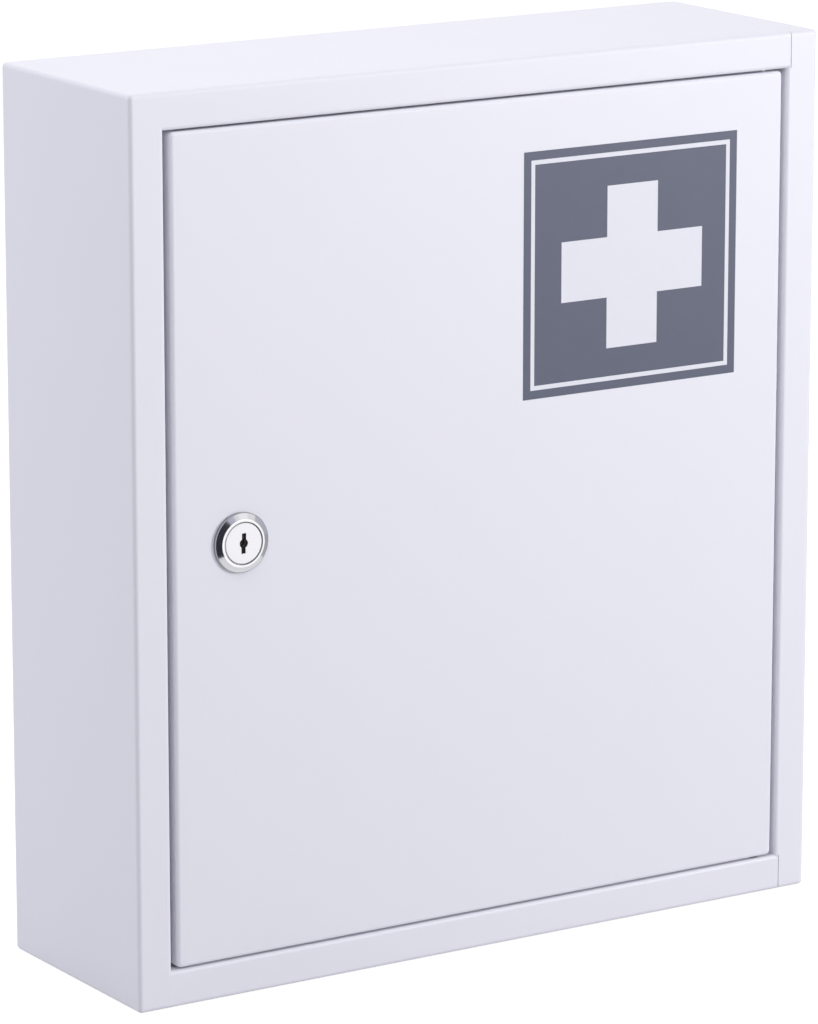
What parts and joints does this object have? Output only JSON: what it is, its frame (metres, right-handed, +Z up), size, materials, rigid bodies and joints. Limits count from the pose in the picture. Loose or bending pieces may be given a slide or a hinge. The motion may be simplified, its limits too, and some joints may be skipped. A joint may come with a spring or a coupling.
{
  "type": "lockable medicine cabinet",
  "caption": "Small steel wall cabinet for medicines: flush door hinged on the right, cam lock on the left, shelves inside, holes in the back for wall screws.",
  "frame": {"origin": "middle of the case's flat base", "axes": "+X right along the front, +Y from the front to the wall, +Z up"},
  "size_m": [0.32, 0.1027, 0.36],
  "materials": {
    "case_paint": "white powder coat, satin",
    "door_paint": "white powder coat, satin",
    "zinc_steel": "bright zinc plate",
    "white_plastic": "natural nylon",
    "bumper_rubber": "soft translucent rubber",
    "lock_chrome": "polished chrome plate"
  },
  "bodies": {
    "case": {"body_shell": "case_paint", "back_panel": "case_paint", "lower_shelf": "case_paint", "upper_shelf": "case_paint", "lower_hinge_plate": "case_paint", "upper_hinge_plate": "case_paint", "lower_hinge_pin": "zinc_steel", "upper_hinge_pin": "zinc_steel", "lower_hinge_washer": "zinc_steel", "lower_door_stop": "case_paint", "upper_door_stop": "case_paint", "lower_bumper": "bumper_rubber", "upper_bumper": "bumper_rubber"},
    "door": {"door_panel": "door_paint", "lower_hinge_bush": "white_plastic", "upper_hinge_bush": "white_plastic", "lock_housing": "lock_chrome", "lock_toothed_washer": "zinc_steel", "lock_nut": "zinc_steel"},
    "lock": {"lock_plug": "lock_chrome", "stop_washer": "zinc_steel", "lock_cam": "zinc_steel", "cam_spring_washer": "zinc_steel", "cam_screw": "zinc_steel"}
  },
  "joints": [
    {"name": "door_hinge", "type": "hinge", "parent": "case", "child": "door", "pos_m": [0.1361, -0.045, 0.18], "axis": [0, 0, 1], "range_deg": [0, 110]},
    {"name": "lock_turn", "type": "hinge", "parent": "door", "child": "lock", "pos_m": [-0.113, -0.05, 0.1825], "axis": [0, 1, 0], "range_deg": [0, 90]}
  ]
}
